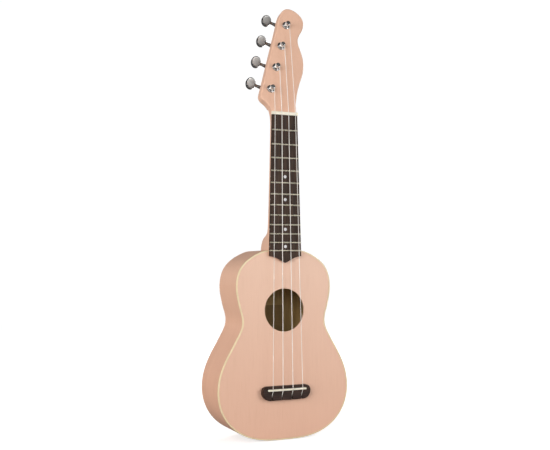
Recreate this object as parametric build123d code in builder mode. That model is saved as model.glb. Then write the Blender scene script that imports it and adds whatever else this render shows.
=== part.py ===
from build123d import *
import math
import os

os.makedirs("parts", exist_ok=True)

# ---------------------------------------------------------------- driving dimensions (mm)
# Frame: +Z up the neck, front of the instrument towards -Y, +X to the viewer's right.
# Origin: centre of the neck at the nut's fingerboard edge, in the plane of the soundboard's front.
scale_length = 345.0            # soprano scale, nut to twelfth fret doubled
fret_count = 12
body_top_z = -172.0             # flat land where the heel meets the body
body_tail_z = -409.1
body_depth = 63.0
top_t = 2.0                     # soundboard thickness
back_t = 2.0
side_t = 1.8
binding_w = 1.7
hole_z, hole_r = -247.4, 27.1

neck_front_y = -1.4             # raised neck tongue carries the fingerboard proud of the soundboard
fb_front_y = -3.8               # fingerboard playing surface
fb_half_nut, fb_half_12 = 17.55, 21.8
nut_t = 4.3
nut_top_y = -6.1
fret_w, fret_h, tang_w, tang_d = 2.0, 0.9, 0.55, 1.5

saddle_z, saddle_t, saddle_half, saddle_top_y = -346.0, 2.4, 26.2, -8.2 - 1.2
bridge_half, bridge_z0, bridge_z1, bridge_h = 32.7, -341.5, -359.0, 7.0
string_x_nut = [-14.1, -4.7, 4.7, 14.1]
string_x_saddle = [-20.3, -6.8, 6.8, 20.3]
string_r = [0.30, 0.43, 0.40, 0.34]
string_nut_y = -5.6
string_names = ["string_g", "string_c", "string_e", "string_a"]

head_tilt = 12.0                # headstock leans back
head_t = 11.5
post_line_start = (-14.7, 30.7)
post_step = (10.17, 30.93)
worm_distance = 6.2             # post axis to worm axis
worm_depth = 17.0               # worm axis behind the headstock's face
button_reach = 23.3             # post axis to button centre

# worm and gear
gear_teeth, gear_module = 14, 0.6
gear_pitch_r = gear_teeth * gear_module / 2
worm_lead = math.pi * gear_module
gear_tip_r, gear_root_r, gear_w = 4.65, 3.5, 2.2
worm_core_r, worm_crest_r = 1.45, 2.45

post_r, post_waist_r, post_stub_r = 3.0, 2.15, 1.9
bush_r, bush_bore_r, bush_flange_r, bush_flange_h = 4.2, 3.08, 5.4, 1.5
post_top_h = 8.5
string_h = 5.75                 # height of the string's last run above the headstock's face

half_outline = [
    (20.0, -172.0), (30.5, -174.0), (41.2, -178.7), (50.1, -184.5), (57.6, -192.2),
    (62.8, -202.3), (64.8, -214.7), (64.0, -228.0), (61.3, -240.6), (58.4, -251.1),
    (56.7, -259.3), (56.8, -265.5), (58.5, -270.7), (61.1, -275.6), (63.9, -280.7),
    (66.8, -286.2), (70.1, -292.0), (73.8, -298.5), (77.9, -305.7), (81.9, -314.0),
    (85.4, -323.1), (87.9, -333.0), (89.0, -343.4), (88.6, -354.0), (86.3, -364.4),
    (82.3, -374.3), (76.5, -383.1), (69.2, -390.8), (60.7, -397.1), (51.3, -402.0),
    (41.3, -405.4), (30.9, -407.5), (20.6, -408.6), (10.2, -409.0), (0.0, -409.1)]

outline_nodes = [0, 2, 4, 6, 8, 10, 12, 15, 18, 20, 22, 24, 26, 28, 31, 34]


def node_tangent(i):
    """Unit direction of the outline at a listed point, running from the neck to the tail."""
    if i == 0:
        return (1.0, 0.0)
    if i == len(half_outline) - 1:
        return (-1.0, 0.0)
    (ax, ay), (bx, by), (cx, cy) = half_outline[i - 1:i + 2]
    d0, d1 = math.hypot(bx - ax, by - ay), math.hypot(cx - bx, cy - by)
    tx = (bx - ax) / d0 * d1 + (cx - bx) / d1 * d0
    ty = (by - ay) / d0 * d1 + (cy - by) / d1 * d0
    m = math.hypot(tx, ty)
    return (tx / m, ty / m)


def turn_at(a, ta, b):
    """Direction at the far end of the arc that leaves a along ta and ends at b."""
    vx, vy = b[0] - a[0], b[1] - a[1]
    m = vx * vx + vy * vy
    k = 2 * (ta[0] * vx + ta[1] * vy) / m
    return (k * vx - ta[0], k * vy - ta[1])


def outline_arcs():
    """The right half of the body as tangent arcs, two between each pair of nodes."""
    arcs = []
    for i, j in zip(outline_nodes, outline_nodes[1:]):
        p, q, tp, tq = half_outline[i], half_outline[j], node_tangent(i), node_tangent(j)
        vx, vy = q[0] - p[0], q[1] - p[1]
        sx, sy = tp[0] + tq[0], tp[1] + tq[1]
        vt, vv, den = vx * sx + vy * sy, vx * vx + vy * vy, 2 * (1 - tp[0] * tq[0] - tp[1] * tq[1])
        d = (-vt + math.sqrt(vt * vt + den * vv)) / den
        m = ((p[0] + q[0] + d * (tp[0] - tq[0])) / 2, (p[1] + q[1] + d * (tp[1] - tq[1])) / 2)
        tm = turn_at(p, tp, m)
        arcs += [(p, tp, m, tm), (m, tm, q, tq)]
    return arcs


body_arcs = outline_arcs()


def half_chain(inset):
    """The same arcs moved inwards by inset, which keeps them concentric."""
    out = []
    for a, ta, b, tb in body_arcs:
        out.append(((a[0] + ta[1] * inset, a[1] - ta[0] * inset), ta,
                    (b[0] + tb[1] * inset, b[1] - tb[0] * inset), tb))
    return out


def body_region(inset, mode=Mode.ADD):
    """The whole body outline, inset, as a face of the current sketch."""
    chain = half_chain(inset)
    with BuildLine() as loop:
        for a, ta, b, tb in chain:
            TangentArc(a, b, tangent=ta)
        for a, ta, b, tb in reversed(chain):
            TangentArc((-b[0], b[1]), (-a[0], a[1]), tangent=(tb[0], -tb[1]))
        Line((-chain[0][0][0], chain[0][0][1]), chain[0][0])
    make_face(loop.edges(), mode=mode)


def side_region(sign):
    """Half of the bent side's wall, split on the centre line at top and tail."""
    body_region(0.0)
    body_region(side_t, mode=Mode.SUBTRACT)
    with Locations((sign * 100, -290)):
        Rectangle(200, 300, mode=Mode.INTERSECT)


def save(piece, name):
    piece.label = name
    export_step(piece, "parts/" + name + ".step")


def fb_half(z):
    """Half width of the fingerboard at height z."""
    return fb_half_nut + (fb_half_12 - fb_half_nut) * (-z) / 172.5


def fret_z(n):
    return -scale_length * (1 - 2 ** (-n / 12))


# ---------------------------------------------------------------- body shell
dowel_spots = [(14.0, -152.0), (34.0, -162.0)]      # depth y, upper end z
dowel_r, dowel_end_z = 4.0, -190.0

with BuildPart() as soundboard:
    with BuildSketch(Plane.XZ):
        body_region(binding_w)
        with Locations((0, hole_z)):
            Circle(hole_r, mode=Mode.SUBTRACT)
    extrude(amount=-top_t)
    rim = soundboard.edges().filter_by(GeomType.CIRCLE).sort_by(Axis.Y)[0]
    fillet(rim, 0.6)
save(soundboard.part, "soundboard")

with BuildPart() as binding_front:
    with BuildSketch(Plane.XZ):
        body_region(0.0)
        body_region(binding_w, mode=Mode.SUBTRACT)
    extrude(amount=-top_t)
    front_edges = binding_front.faces().sort_by(Axis.Y)[0].outer_wire().edges()
    fillet(front_edges, 0.7)
save(binding_front.part, "binding_front")

with BuildPart() as back:
    with BuildSketch(Plane.XZ.offset(-(body_depth - back_t))):
        body_region(0.0)
    extrude(amount=-back_t)
    fillet(back.faces().sort_by(Axis.Y)[-1].edges(), 1.4)
save(back.part, "back")

for sign, name in ((-1, "side_left"), (1, "side_right")):
    with BuildPart() as side:
        with BuildSketch(Plane.XZ.offset(-top_t)):
            side_region(sign)
        extrude(amount=-(body_depth - back_t - top_t))
        for y, z in dowel_spots:
            with BuildSketch(Plane.XY.offset(-170)):
                with Locations((0, y)):
                    Circle(dowel_r)
            extrude(amount=-8, mode=Mode.SUBTRACT)
    save(side.part, name)

inner_front, inner_back = top_t, body_depth - back_t
with BuildPart() as neck_block:
    with BuildSketch(Plane.XZ.offset(-inner_front)):
        body_region(side_t)
        with Locations((0, -184.0)):
            Rectangle(52, 24, mode=Mode.INTERSECT)
    extrude(amount=-(inner_back - inner_front))
    for y, z in dowel_spots:
        with BuildSketch(Plane.XY.offset(-170)):
            with Locations((0, y)):
                Circle(dowel_r)
        extrude(amount=dowel_end_z + 170, mode=Mode.SUBTRACT)
save(neck_block.part, "neck_block")

with BuildPart() as tail_block:
    with BuildSketch(Plane.XZ.offset(-inner_front)):
        body_region(side_t)
        with Locations((0, -403.0)):
            Rectangle(46, 16, mode=Mode.INTERSECT)
    extrude(amount=-(inner_back - inner_front))
save(tail_block.part, "tail_block")

lining_w, lining_h = 5.0, 6.0
for name, y0 in (("lining_front", inner_front), ("lining_back", inner_back - lining_h)):
    with BuildPart() as lining:
        with BuildSketch(Plane.XZ.offset(-y0)):
            body_region(side_t)
            body_region(side_t + lining_w, mode=Mode.SUBTRACT)
            with Locations((0, -184.0)):
                Rectangle(52, 24, mode=Mode.SUBTRACT)
            with Locations((0, -403.0)):
                Rectangle(46, 16, mode=Mode.SUBTRACT)
        extrude(amount=-lining_h)
    save(lining.part, name)


def strut(name, z, width, y0, y1):
    """A straight brace across the inside, between the linings."""
    with BuildPart() as bar:
        with BuildSketch(Plane.XZ.offset(-y0)):
            body_region(side_t + lining_w)
            with Locations((0, z)):
                Rectangle(200, width, mode=Mode.INTERSECT)
        extrude(amount=-(y1 - y0))
        chamfer(bar.edges().filter_by(Axis.X).group_by(Axis.Y)[-1 if y0 < 30 else 0], 1.6)
    save(bar.part, name)


strut("soundboard_brace_upper", -208.0, 7.0, inner_front, inner_front + 8.0)
strut("soundboard_brace_lower", -287.0, 7.0, inner_front, inner_front + 8.0)
strut("back_brace_upper", -212.0, 8.0, inner_back - 9.0, inner_back)
strut("back_brace_lower", -318.0, 8.0, inner_back - 9.0, inner_back)

with BuildPart() as bridge_plate:
    with BuildSketch(Plane.XZ.offset(-inner_front)):
        with Locations((0, -351.0)):
            RectangleRounded(84, 28, 4)
    extrude(amount=-2.5)
save(bridge_plate.part, "bridge_plate")

with BuildPart() as fan_braces:
    with BuildSketch(Plane.XZ.offset(-inner_front)):
        with Locations((-18, -314.0), (0, -314.0), (18, -314.0)):
            Rectangle(4, 42)
    extrude(amount=-4.5)
    chamfer(fan_braces.edges().filter_by(Axis.Z).group_by(Axis.Y)[-1], 1.0)
save(fan_braces.part, "fan_braces")

with BuildPart() as label:
    with BuildSketch(Plane.XZ.offset(-(inner_back - 0.2))):
        with Locations((0, -262.0)):
            RectangleRounded(50, 36, 2)
    extrude(amount=-0.2)
save(label.part, "label")

with BuildPart() as neck_dowels:
    for y, z in dowel_spots:
        with BuildSketch(Plane.XY.offset(z)):
            with Locations((0, y)):
                Circle(dowel_r)
        extrude(amount=dowel_end_z - z)
save(neck_dowels.part, "neck_dowels")

# ---------------------------------------------------------------- bridge and saddle
slot_floor_y, knot_y = -3.4, -4.3
with BuildPart() as bridge:
    zc, hz = (bridge_z0 + bridge_z1) / 2, (bridge_z0 - bridge_z1) / 2
    with BuildSketch(Plane.XZ):
        with BuildLine():
            FilletPolyline((-bridge_half, bridge_z0), (bridge_half, bridge_z0),
                           (bridge_half, bridge_z1), (-bridge_half, bridge_z1),
                           radius=[6.2, 6.2, 10.6, 10.6], close=True)
        make_face()
    extrude(amount=bridge_h)
    fillet(bridge.faces().sort_by(Axis.Y)[0].edges(), 1.3)
    with BuildSketch(Plane.XZ.offset(3.6)):
        with Locations((0, saddle_z)):
            SlotOverall(2 * saddle_half + 0.1, saddle_t + 0.1)
    extrude(amount=6, mode=Mode.SUBTRACT)
    for xs in string_x_saddle:
        with BuildSketch(Plane.XZ.offset(-slot_floor_y)):
            with Locations((xs, -355.2)):
                Rectangle(1.25, 9.6)
        extrude(amount=6, mode=Mode.SUBTRACT)
        with BuildSketch(Plane.XY.offset(-355.6)):
            with Locations((xs, knot_y)):
                Circle(1.5)
        extrude(amount=-6, mode=Mode.SUBTRACT)
save(bridge.part, "bridge")

with BuildPart() as saddle:
    with BuildSketch(Plane.XZ.offset(3.6)):
        with Locations((0, saddle_z)):
            SlotOverall(2 * saddle_half, saddle_t)
    extrude(amount=-saddle_top_y - 3.6)
    fillet(saddle.faces().sort_by(Axis.Y)[0].edges(), 1.15)
save(saddle.part, "saddle")

# ---------------------------------------------------------------- fingerboard, frets, nut, dots
fb_end = [(22.0, -179.3), (17.0, -180.3), (12.3, -181.8), (7.5, -184.1), (3.5, -186.4), (0.0, -187.9)]


def fingerboard_region(top_z, grow=0.0):
    """Tapered outline with the pointed, slightly hollow lower end."""
    e = [(x + (grow if x > 0 else 0), z) for x, z in fb_end]
    with BuildLine() as loop:
        Polyline((-e[0][0], e[0][1]), (-fb_half(top_z) - grow, top_z), (fb_half(top_z) + grow, top_z), e[0])
        Spline(*e)
        Spline(*[(-x, z) for x, z in reversed(e)])
    make_face(loop.edges())


dot_frets = [5, 7, 10, 12]
dot_z = [(fret_z(n) + fret_z(n - 1)) / 2 for n in dot_frets]
dot_r, dot_d = 2.0, 1.0
side_dot_r, side_dot_d = 0.75, 1.5
side_dot_y = (neck_front_y + fb_front_y) / 2

with BuildPart() as fingerboard:
    with BuildSketch(Plane.XZ.offset(-neck_front_y)):
        fingerboard_region(0.0)
    extrude(amount=neck_front_y - fb_front_y)
    for n in range(1, fret_count + 1):
        with BuildSketch(Plane.XZ.offset(-fb_front_y)):
            with Locations((0, fret_z(n))):
                Rectangle(60, tang_w)
        extrude(amount=-tang_d, mode=Mode.SUBTRACT)
    for z in dot_z:
        with BuildSketch(Plane.XZ.offset(-fb_front_y)):
            with Locations((0, z)):
                Circle(dot_r)
        extrude(amount=-dot_d, mode=Mode.SUBTRACT)
        with BuildSketch(Plane.YZ.offset(-fb_half(z) - 1)):
            with Locations((side_dot_y, z)):
                Circle(side_dot_r)
        extrude(amount=side_dot_d + 1, mode=Mode.SUBTRACT)
save(fingerboard.part, "fingerboard")

with BuildPart() as frets:
    for n in range(1, fret_count + 1):
        w = fb_half(fret_z(n)) - 0.15
        y, z = fb_front_y, fret_z(n)
        with BuildSketch(Plane.YZ.offset(-w)):
            with BuildLine():
                Polyline((y, z - fret_w / 2), (y, z - tang_w / 2), (y + tang_d, z - tang_w / 2),
                         (y + tang_d, z + tang_w / 2), (y, z + tang_w / 2), (y, z + fret_w / 2))
                ThreePointArc((y, z + fret_w / 2), (y - fret_h, z), (y, z - fret_w / 2))
            make_face()
        extrude(amount=2 * w)
save(frets.part, "frets")

with BuildPart() as position_markers:
    for z in dot_z:
        with BuildSketch(Plane.XZ.offset(-fb_front_y)):
            with Locations((0, z)):
                Circle(dot_r)
        extrude(amount=-dot_d)
save(position_markers.part, "position_markers")

with BuildPart() as side_markers:
    for z in dot_z:
        with BuildSketch(Plane.YZ.offset(-fb_half(z) + 0.02)):
            with Locations((side_dot_y, z)):
                Circle(side_dot_r)
        extrude(amount=side_dot_d - 0.02)
save(side_markers.part, "side_markers")

with BuildPart() as nut:
    with BuildSketch(Plane.YZ.offset(-fb_half_nut)):
        Polyline_pts = [(neck_front_y, 0), (nut_top_y, 0), (nut_top_y + 0.35, nut_t), (neck_front_y, nut_t)]
        with BuildLine():
            Polyline(*Polyline_pts, close=True)
        make_face()
    extrude(amount=2 * fb_half_nut)
    fillet(nut.edges().filter_by(Axis.X).group_by(Axis.Y)[1], 1.6)
    for xs, r in zip(string_x_nut, string_r):
        with BuildSketch(Plane.YZ.offset(xs - r - 0.14)):
            b = string_nut_y + r + 0.10
            with BuildLine():
                Polyline((b - 0.03, -1), (b, 2.15), (b + (5.5 - 2.15) * math.tan(math.radians(13.2)), 5.5),
                         (-9, 5.5), (-9, -1), close=True)
            make_face()
        extrude(amount=2 * (r + 0.14), mode=Mode.SUBTRACT)
save(nut.part, "nut")

# ---------------------------------------------------------------- neck with heel and headstock
ct, st = math.cos(math.radians(head_tilt)), math.sin(math.radians(head_tilt))
head_face = Plane(origin=(0, 0.3, 4.5), x_dir=(1, 0, 0), z_dir=(0, -ct, st))


def carved_section(w, depth, power, taper, xc=0.0):
    """Flat front edge with a carved back: a superellipse that narrows towards the back."""
    n = 18
    pts = []
    for k in range(n + 1):
        a = math.pi * k / n
        c, s = math.cos(a), math.sin(a)
        x = math.copysign(abs(c) ** (2 / power), c) if abs(c) > 1e-9 else 0.0
        y = abs(s) ** (2 / power) if 0 < k < n else 0.0
        pts.append((xc + w * x * (1 - taper * y), depth * y))
    with BuildLine() as loop:
        Line((xc - w, 0), (xc + w, 0))
        Spline(*pts)
    make_face(loop.edges())


heel_sections = [(-172.0, 21.9, 56.0, 4.5, 0.42), (-166.0, 21.8, 55.0, 4.5, 0.42), (-161.0, 21.7, 52.0, 4.2, 0.40),
                 (-157.0, 21.6, 46.0, 3.9, 0.35), (-154.5, 21.5, 37.5, 3.5, 0.26), (-152.8, 21.4, 28.5, 3.0, 0.15),
                 (-151.0, 21.35, 22.0, 2.7, 0.06), (-149.0, 21.3, 18.4, 2.45, 0.02), (-146.8, 21.25, 16.7, 2.35, 0.0),
                 (-144.5, 21.2, 16.0, 2.25, 0.0), (-142.2, 21.12, 15.75, 2.2, 0.0), (-140.0, 21.06, 15.65, 2.17, 0.0),
                 (-138.0, 21.0, 15.6, 2.15, 0.0)]
shaft_sections = [(-138.0, 21.0, 15.6, 2.15, 0.0), (-70.0, 19.3, 14.6, 1.85, 0.0), (-14.0, 17.9, 13.6, 1.85, 0.0)]

left_edge_top = [(21.4, 149.1), (15.8, 147.3), (11.0, 142.4), (7.3, 135.0), (4.3, 125.9), (0.3, 113.1)]
right_edge = [(18.6, 6.0), (19.0, 10.5), (19.7, 15.0), (21.0, 20.5), (22.4, 26.2), (24.1, 32.0), (26.2, 37.8),
              (28.5, 43.6), (31.0, 49.5), (33.3, 55.4), (35.0, 61.2), (36.0, 67.1), (36.4, 72.8), (36.1, 78.5),
              (35.2, 84.2), (33.4, 91.2), (31.9, 96.8), (31.4, 102.6), (32.9, 108.6), (36.4, 114.8),
              (40.0, 121.1), (42.0, 127.2), (42.3, 132.9), (40.5, 138.2), (36.2, 143.2), (29.5, 147.6)]
left_corner = [(-26.3, 32.2), (-28.4, 26.0), (-29.4, 21.0), (-28.0, 16.6), (-24.1, 13.0), (-20.6, 9.7), (-18.3, 6.0)]

with BuildPart() as head_slab:
    with BuildSketch(head_face):
        with BuildLine():
            Spline(*(right_edge + left_edge_top), tangents=[(0.08, 1), (-0.3123, -0.95)])
            Line(left_edge_top[-1], left_corner[0])
            Spline(*left_corner, tangents=[(-0.3123, -0.95), (0.45, -1)])
            Line(left_corner[-1], right_edge[0])
        make_face()
    extrude(amount=-head_t)
    v_dir = Axis((0, 0, 0), (0, st, ct))
    rims = head_slab.edges().filter_by(lambda e: e.length > 20 or e.geom_type == GeomType.BSPLINE)
    rims = rims.filter_by(lambda e: abs((e % 0.5).dot(head_face.z_dir)) < 0.5).sort_by(v_dir)[2:]
    fillet(rims, 1.8)

with BuildPart() as neck:
    for z, w, d, p, tp in heel_sections:
        with BuildSketch(Plane.XY.offset(z)):
            carved_section(w, d, p, tp)
    loft()
    for z, w, d, p, tp in shaft_sections:
        with BuildSketch(Plane.XY.offset(z)):
            carved_section(w, d, p, tp)
    loft()
    # the shaft swells into the slab of the headstock
    with BuildSketch(Plane.XY.offset(-14.0)):
        carved_section(17.9, 13.6, 1.85, 0.0)
    with BuildSketch(Plane.XY.offset(-4.0)):
        carved_section(17.7, 13.2, 2.3, 0.0)
    v0 = head_face.from_local_coords((0, 8.0, 0))
    with BuildSketch(Plane(origin=v0, x_dir=(1, 0, 0), z_dir=(0, st, ct))):
        carved_section(18.4, head_t, 7.0, 0.0, xc=0.0)
    loft()
    # raised tongue under the fingerboard and nut
    with BuildSketch(Plane.XZ):
        fingerboard_region(nut_t)
    extrude(amount=-neck_front_y)
    add(head_slab.part)
    # bores for the posts and their bushings, and the pilot holes for the plate screws
    post_planes = []
    t_dir = Vector(*post_step).normalized()
    for k in range(4):
        u, v = post_line_start[0] + k * post_step[0], post_line_start[1] + k * post_step[1]
        o = head_face.from_local_coords((u, v, 0))
        bx = head_face.from_local_coords((u - t_dir.Y, v + t_dir.X, 0)) - o
        post_planes.append(Plane(origin=o, x_dir=bx, z_dir=head_face.z_dir))
    for pl in post_planes:
        with BuildSketch(pl):
            Circle(bush_r)
        extrude(amount=-6.0, mode=Mode.SUBTRACT)
        with BuildSketch(pl):
            Circle(3.4)
        extrude(amount=-head_t - 4, mode=Mode.SUBTRACT)
        with BuildSketch(pl.offset(-head_t - 3)):
            with Locations((0, -12.2), (0, 8.6)):
                Circle(0.95)
        extrude(amount=8.5, mode=Mode.SUBTRACT)
    for y, z in dowel_spots:
        with BuildSketch(Plane.XY.offset(z)):
            with Locations((0, y)):
                Circle(dowel_r)
        extrude(amount=dowel_end_z - z, mode=Mode.SUBTRACT)
save(neck.part, "neck")

# ---------------------------------------------------------------- tuners, drawn once about a post
# Local frame of a tuner: x towards the button, y down the post line, z out of the headstock's face.
wy, wz = -worm_distance, -worm_depth
plate_z = -head_t
plate_t = 1.2

with BuildPart() as plate_proto:
    with BuildSketch(Plane.XY.offset(plate_z)):
        with Locations((0, -1.8)):
            RectangleRounded(14.4, 27.0, 3.0)
    extrude(amount=-plate_t)
    for x in (-6.2, 6.2):
        with BuildSketch(Plane.YZ.offset(x - 0.8)):
            with Locations((wy, wz)):
                Circle(2.9)
            with Locations((wy, (plate_z + wz) / 2)):
                Rectangle(5.8, plate_z - wz)
        extrude(amount=1.6)
        with BuildSketch(Plane.YZ.offset(x - 1.0)):
            with Locations((wy, wz)):
                Circle(1.56)
        extrude(amount=2.0, mode=Mode.SUBTRACT)
    with BuildSketch(Plane.XY.offset(plate_z + 1)):
        Circle(3.08)
        with Locations((0, -12.2), (0, 8.6)):
            Circle(1.05)
    extrude(amount=-plate_t - 2, mode=Mode.SUBTRACT)

with BuildPart() as screw_proto:
    for y in (-12.2, 8.6):
        with BuildSketch(Plane.XY.offset(plate_z - plate_t)):
            with Locations((0, y)):
                Circle(2.0)
        extrude(amount=-1.1)
    fillet(screw_proto.faces().sort_by(Axis.Z)[0].edges(), 0.7)
    for y in (-12.2, 8.6):
        with BuildSketch(Plane.XY.offset(plate_z - plate_t)):
            with Locations((0, y)):
                Circle(0.95)
        extrude(amount=plate_t + 5.4)
        for a in (0, 90):
            with BuildSketch(Plane.XY.offset(plate_z - plate_t - 1.2)):
                with Locations((0, y)):
                    Rectangle(2.4, 0.5, rotation=a)
            extrude(amount=0.7, mode=Mode.SUBTRACT)

with BuildPart() as bushing_proto:
    with BuildSketch(Plane.XY):
        Circle(bush_flange_r)
        Circle(bush_bore_r, mode=Mode.SUBTRACT)
    extrude(amount=bush_flange_h)
    fillet(bushing_proto.edges().filter_by(GeomType.CIRCLE).group_by(Axis.Z)[-1].sort_by(SortBy.RADIUS)[-1], 1.1)
    with BuildSketch(Plane.XY):
        Circle(bush_r)
        Circle(bush_bore_r, mode=Mode.SUBTRACT)
    extrude(amount=-6.0)

gear_top_z, gear_low_z = wz + gear_w / 2, wz - gear_w / 2
with BuildPart() as post_proto:
    with BuildSketch(Plane.XZ):
        with BuildLine():
            Polyline((0, gear_low_z), (post_stub_r, gear_low_z), (post_stub_r, gear_top_z), (post_r, gear_top_z),
                     (post_r, 2.4), (post_waist_r, 2.95), (post_waist_r, 6.4), (post_r, 6.9), (post_r, post_top_h - 0.8))
            ThreePointArc((post_r, post_top_h - 0.8), (post_r - 0.25, post_top_h - 0.22), (post_r - 0.8, post_top_h))
            Polyline((post_r - 0.8, post_top_h), (0, post_top_h), (0, gear_low_z))
        make_face()
    revolve(axis=Axis.Z)
    with BuildSketch(Plane.YZ.offset(-4)):
        with Locations((0, 7.35)):
            Circle(0.55)
    extrude(amount=8, mode=Mode.SUBTRACT)
    with BuildSketch(Plane.XY.offset(gear_low_z)):
        Circle(0.9)
    extrude(amount=5.5, mode=Mode.SUBTRACT)

tooth_half = [(gear_root_r, 0.62), (gear_pitch_r, 0.40), (gear_tip_r, 0.22)]
gear_outline = []
for k in range(gear_teeth):
    # a tooth gap faces the worm, so teeth start half a pitch off the -y direction
    a = math.radians(-90 + 180 / gear_teeth + k * 360 / gear_teeth)
    for r, h in [(r, -h) for r, h in tooth_half] + [(r, h) for r, h in reversed(tooth_half)]:
        gear_outline.append((r * math.cos(a) - h * math.sin(a), r * math.sin(a) + h * math.cos(a)))
with BuildPart() as gear_proto:
    with BuildSketch(Plane.XY.offset(gear_low_z)):
        with BuildLine():
            Polyline(*gear_outline, close=True)
        make_face()
        Circle(post_stub_r, mode=Mode.SUBTRACT)
    extrude(amount=gear_w)

with BuildPart() as gear_screw_proto:
    with BuildSketch(Plane.XY.offset(gear_low_z)):
        Circle(2.6)
    extrude(amount=-1.3)
    fillet(gear_screw_proto.faces().sort_by(Axis.Z)[0].edges(), 0.6)
    with BuildSketch(Plane.XY.offset(gear_low_z)):
        Circle(0.9)
    extrude(amount=5.0)
    with BuildSketch(Plane.XY.offset(gear_low_z - 1.4)):
        Rectangle(5.6, 0.6)
    extrude(amount=0.7, mode=Mode.SUBTRACT)

wind_r, wind_n = 0.36, 3
with BuildPart() as winding_proto:
    wind_z0 = 5.28 - 2 * wind_r * wind_n
    with BuildSketch(Plane.XZ):
        with BuildLine():
            Line((post_waist_r, wind_z0), (post_waist_r + wind_r, wind_z0))
            z = wind_z0
            for k in range(wind_n):
                ThreePointArc((post_waist_r + wind_r, z), (post_waist_r + 2 * wind_r, z + wind_r),
                              (post_waist_r + wind_r, z + 2 * wind_r))
                z += 2 * wind_r
            Line((post_waist_r + wind_r, z), (post_waist_r, z))
            Line((post_waist_r, z), (post_waist_r, wind_z0))
        make_face()
    revolve(axis=Axis.Z)

# the worm is drawn along +Z, with its gear-facing side at +X
shaft_r = 1.5
with BuildPart() as worm_proto:
    with BuildSketch(Plane.XY.offset(-7.6)):
        Circle(shaft_r)
    extrude(amount=2.2)
    with BuildSketch(Plane.XY.offset(-5.4)):
        Circle(worm_core_r)
    extrude(amount=10.8)
    with BuildSketch(Plane.XY.offset(5.4)):
        Circle(shaft_r)
    extrude(amount=20.0 - 5.4)
    turns = 5
    with BuildLine() as thread_path:
        Helix(pitch=worm_lead, height=turns * worm_lead, radius=worm_core_r - 0.05,
              center=(0, 0, -turns * worm_lead / 2))
    start = thread_path.line @ 0
    with BuildSketch(Plane(origin=start, x_dir=(1, 0, 0), z_dir=thread_path.line % 0)) as thread_section:
        with BuildLine():
            Polyline((0, -0.45), (0, 0.45), (worm_crest_r - worm_core_r + 0.05, 0.18),
                     (worm_crest_r - worm_core_r + 0.05, -0.18), close=True)
        make_face()
    sweep(sections=thread_section.sketch, path=thread_path.line, is_frenet=True)
worm_frame = Plane(origin=(0, wy, wz), x_dir=(0, 1, 0), z_dir=(1, 0, 0))

button_w, button_h, button_t = 13.0, 16.6, 4.6
with BuildPart() as button_proto:
    with BuildSketch(Plane.XY.offset(wz - button_t / 2)):
        with Locations((button_reach, wy)):
            Ellipse(button_w / 2, button_h / 2)
    extrude(amount=button_t)
    fillet(button_proto.edges().filter_by(Plane.XY), 1.1)
    with BuildSketch(Plane.XY.offset(wz)):
        with BuildLine():
            Polyline((8.2, wy), (8.2, wy + 1.9), (8.8, wy + 2.35), (10.5, wy + 2.35), (15.2, wy + 1.85),
                     (17.6, wy + 2.3), (19.0, wy + 2.3), (19.0, wy), close=True)
        make_face()
    revolve(axis=Axis((0, wy, wz), (1, 0, 0)))
    with BuildSketch(Plane.YZ.offset(8.0)):
        with Locations((wy, wz)):
            Circle(shaft_r)
    extrude(amount=12.0, mode=Mode.SUBTRACT)

worm_local = worm_frame.location * (Rot(0, 0, 180) * worm_proto.part)
for k, pl in enumerate(post_planes):
    n = str(k + 1)
    save(pl.location * plate_proto.part, "tuner_" + n + "_plate")
    save(pl.location * post_proto.part, "tuner_" + n + "_post")
    save(pl.location * gear_proto.part, "tuner_" + n + "_gear")
    save(pl.location * gear_screw_proto.part, "tuner_" + n + "_gear_screw")
    save(pl.location * winding_proto.part, "string_winding_" + n)
    save(pl.location * worm_local, "tuner_" + n + "_worm_shaft")
    save(pl.location * button_proto.part, "tuner_" + n + "_button")

bushing_set = Compound(children=[pl.location * bushing_proto.part.solid() for pl in post_planes])
save(bushing_set, "post_bushings")
screw_set = Compound(children=[pl.location * s for pl in post_planes for s in screw_proto.part.solids()])
save(screw_set, "tuner_screws")


# ---------------------------------------------------------------- strings
def bent_path(pts, radii):
    """Straight runs joined by tangent arcs, drawn into the current line context."""
    last = pts[0]
    for i in range(1, len(pts) - 1):
        a = (pts[i - 1] - pts[i]).normalized()
        b = (pts[i + 1] - pts[i]).normalized()
        turn = math.pi - math.radians(a.get_angle(b))
        leg = radii[i - 1] * math.tan(turn / 2)
        p, q = pts[i] + a * leg, pts[i] + b * leg
        bis = (a + b).normalized()
        mid = pts[i] + bis * (radii[i - 1] / math.cos(turn / 2) - radii[i - 1])
        Line(last, p)
        ThreePointArc(p, mid, q)
        last = q
    Line(last, pts[-1])


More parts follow.
